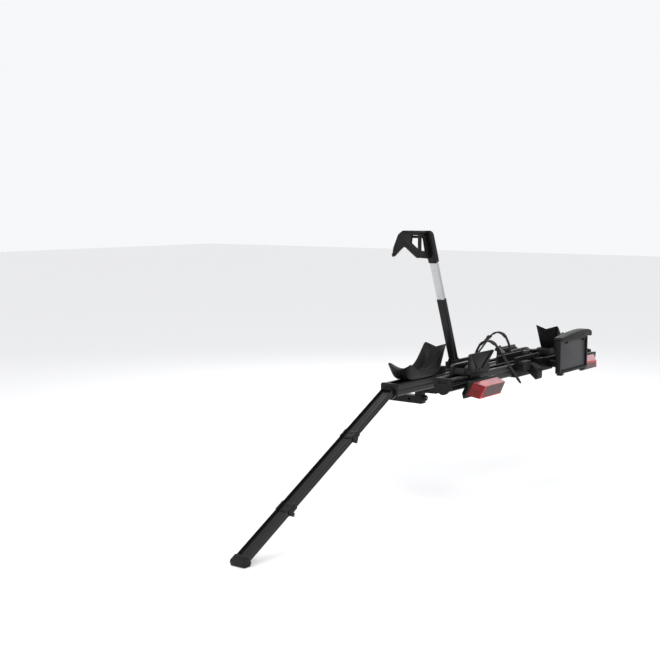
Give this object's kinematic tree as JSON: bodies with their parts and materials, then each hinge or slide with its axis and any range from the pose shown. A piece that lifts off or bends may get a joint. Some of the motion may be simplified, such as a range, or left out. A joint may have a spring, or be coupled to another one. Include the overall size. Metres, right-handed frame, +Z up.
{
  "type": "hitch bicycle carrier",
  "caption": "Hitch-mounted platform rack: wheel rails with scoops, sliding cradles and straps, telescoping yoke arms, tail lamps, plate holder and a hinged loading ramp.",
  "frame": {"origin": "centre of the hitch pin hole through the square shank", "axes": "+X to the vehicle's right, +Y forward towards the vehicle, +Z up"},
  "size_m": [3.163, 1.1636, 1.571],
  "materials": {
    "powder_black": "fine satin powder coat",
    "anodised_black": "satin black anodising",
    "anodised_silver": "brushed clear anodising",
    "zinc_steel": "zinc plated",
    "lens_red": "clear red lens, ribbed behind",
    "guide_red": "bright red light guide",
    "rubber_black": "matt moulded rubber",
    "plastic_grey": "fine grained grey",
    "plate_dark_grey": "smooth blank sheet",
    "plastic_black": "fine grained black moulding"
  },
  "bodies": {
    "hitch": {"hitch_shank": "powder_black", "tilt_post": "powder_black", "tilt_pin": "zinc_steel", "anti_rattle_wedge": "zinc_steel"},
    "knob": {"hitch_knob": "plastic_black", "draw_rod": "zinc_steel"},
    "platform": {"spine": "powder_black", "saddle_1": "plastic_black", "saddle_2": "plastic_black", "rail_1": "anodised_black", "rail_2": "anodised_black", "end_cap_1_left": "plastic_black", "end_cap_1_right": "plastic_black", "end_cap_2_left": "plastic_black", "end_cap_2_right": "plastic_black", "rail_bolts": "zinc_steel", "front_scoop_1": "plastic_black", "front_scoop_2": "plastic_black", "arm_base_1": "powder_black", "arm_base_2": "powder_black", "arm_pins": "zinc_steel", "lamp_brackets": "powder_black", "lamp_housing_left": "plastic_black", "lamp_housing_right": "plastic_black", "lamp_lens_left": "lens_red", "lamp_lens_right": "lens_red", "light_guides": "guide_red", "plate_bracket": "powder_black", "plate_frame": "plastic_black", "plate_blank": "plate_dark_grey", "plate_cover": "plastic_black", "plate_clips": "plastic_black", "lever_pin": "zinc_steel"},
    "release_lever": {"tilt_lever": "plastic_black"},
    "arm_1": {"arm_sleeve_1": "anodised_black", "arm_collar_1": "plastic_black"},
    "head_1": {"arm_tube_1": "anodised_silver", "yoke_head_1": "plastic_black"},
    "button_1": {"release_button_1": "plastic_black"},
    "cradle_1": {"rear_cradle_1": "plastic_black", "strap_1": "rubber_black"},
    "buckle_1": {"buckle_lever_1": "plastic_grey"},
    "arm_2": {"arm_sleeve_2": "anodised_black", "arm_collar_2": "plastic_black"},
    "head_2": {"arm_tube_2": "anodised_silver", "yoke_head_2": "plastic_black"},
    "button_2": {"release_button_2": "plastic_black"},
    "cradle_2": {"rear_cradle_2": "plastic_black", "strap_2": "rubber_black"},
    "buckle_2": {"buckle_lever_2": "plastic_grey"},
    "ramp_upper": {"ramp_hook": "powder_black", "ramp_upper": "anodised_black", "ramp_collar_upper": "plastic_black"},
    "ramp_middle": {"ramp_middle": "anodised_black", "ramp_collars_middle": "plastic_black", "ramp_pins": "zinc_steel"},
    "ramp_lower": {"ramp_lower": "anodised_black", "ramp_collar_lower": "plastic_black", "ramp_foot": "rubber_black"}
  },
  "joints": [
    {"name": "knob_turn", "type": "hinge", "parent": "hitch", "child": "knob", "pos_m": [0, -0.1085, 0.0122], "axis": [0, 1, 0], "continuous": true},
    {"name": "platform_tilt", "type": "hinge", "parent": "hitch", "child": "platform", "pos_m": [0, -0.068, 0.078], "axis": [1, 0, 0], "range_deg": [-90, 0]},
    {"name": "release_lever", "type": "hinge", "parent": "platform", "child": "release_lever", "pos_m": [0, -0.85, 0.29], "axis": [-1, 0, 0], "range_deg": [0, 25], "stiffness_Nm_per_rad": 1.2, "springref_deg": -20.05},
    {"name": "arm_1_pivot", "type": "hinge", "parent": "platform", "child": "arm_1", "pos_m": [-0.314, -0.521, 0.25], "axis": [0, 1, 0], "range_deg": [-56, 12]},
    {"name": "arm_1_extend", "type": "slide", "parent": "arm_1", "child": "head_1", "axis": [-0.3665, 0, 0.9304], "range_m": [-0.225, 0.05]},
    {"name": "button_1_press", "type": "slide", "parent": "head_1", "child": "button_1", "axis": [0.3665, 0, -0.9304], "range_m": [0, 0.004], "stiffness_N_per_m": 400, "springref_m": -0.006},
    {"name": "cradle_1_slide", "type": "slide", "parent": "platform", "child": "cradle_1", "axis": [1, 0, 0], "range_m": [-0.2, 0.08]},
    {"name": "buckle_1_lift", "type": "hinge", "parent": "cradle_1", "child": "buckle_1", "pos_m": [0.463, -0.3075, 0.3826], "axis": [1, 0, 0], "range_deg": [0, 90]},
    {"name": "arm_2_pivot", "type": "hinge", "parent": "platform", "child": "arm_2", "pos_m": [0.314, -0.651, 0.312], "axis": [0, -1, 0], "range_deg": [0, 82.5]},
    {"name": "arm_2_extend", "type": "slide", "parent": "arm_2", "child": "head_2", "axis": [0.9994, 0, -0.0349], "range_m": [0, 0.275]},
    {"name": "button_2_press", "type": "slide", "parent": "head_2", "child": "button_2", "axis": [-0.9994, 0, 0.0349], "range_m": [0, 0.004], "stiffness_N_per_m": 400, "springref_m": -0.006},
    {"name": "cradle_2_slide", "type": "slide", "parent": "platform", "child": "cradle_2", "axis": [-1, 0, 0], "range_m": [-0.2, 0.08]},
    {"name": "buckle_2_lift", "type": "hinge", "parent": "cradle_2", "child": "buckle_2", "pos_m": [-0.433, -0.8645, 0.4446], "axis": [-1, 0, 0], "range_deg": [0, 90]},
    {"name": "ramp_hook", "type": "hinge", "parent": "platform", "child": "ramp_upper", "pos_m": [-0.861, -0.411, 0.221], "axis": [0, 1, 0], "range_deg": [0, 30]},
    {"name": "ramp_fold_1", "type": "hinge", "parent": "ramp_upper", "child": "ramp_middle", "pos_m": [-1.21186, -0.411, -0.02051], "axis": [0, -1, 0], "range_deg": [0, 120]},
    {"name": "ramp_fold_2", "type": "hinge", "parent": "ramp_middle", "child": "ramp_lower", "pos_m": [-1.74703, -0.411, -0.30268], "axis": [0, -1, 0], "range_deg": [0, 120]}
  ]
}
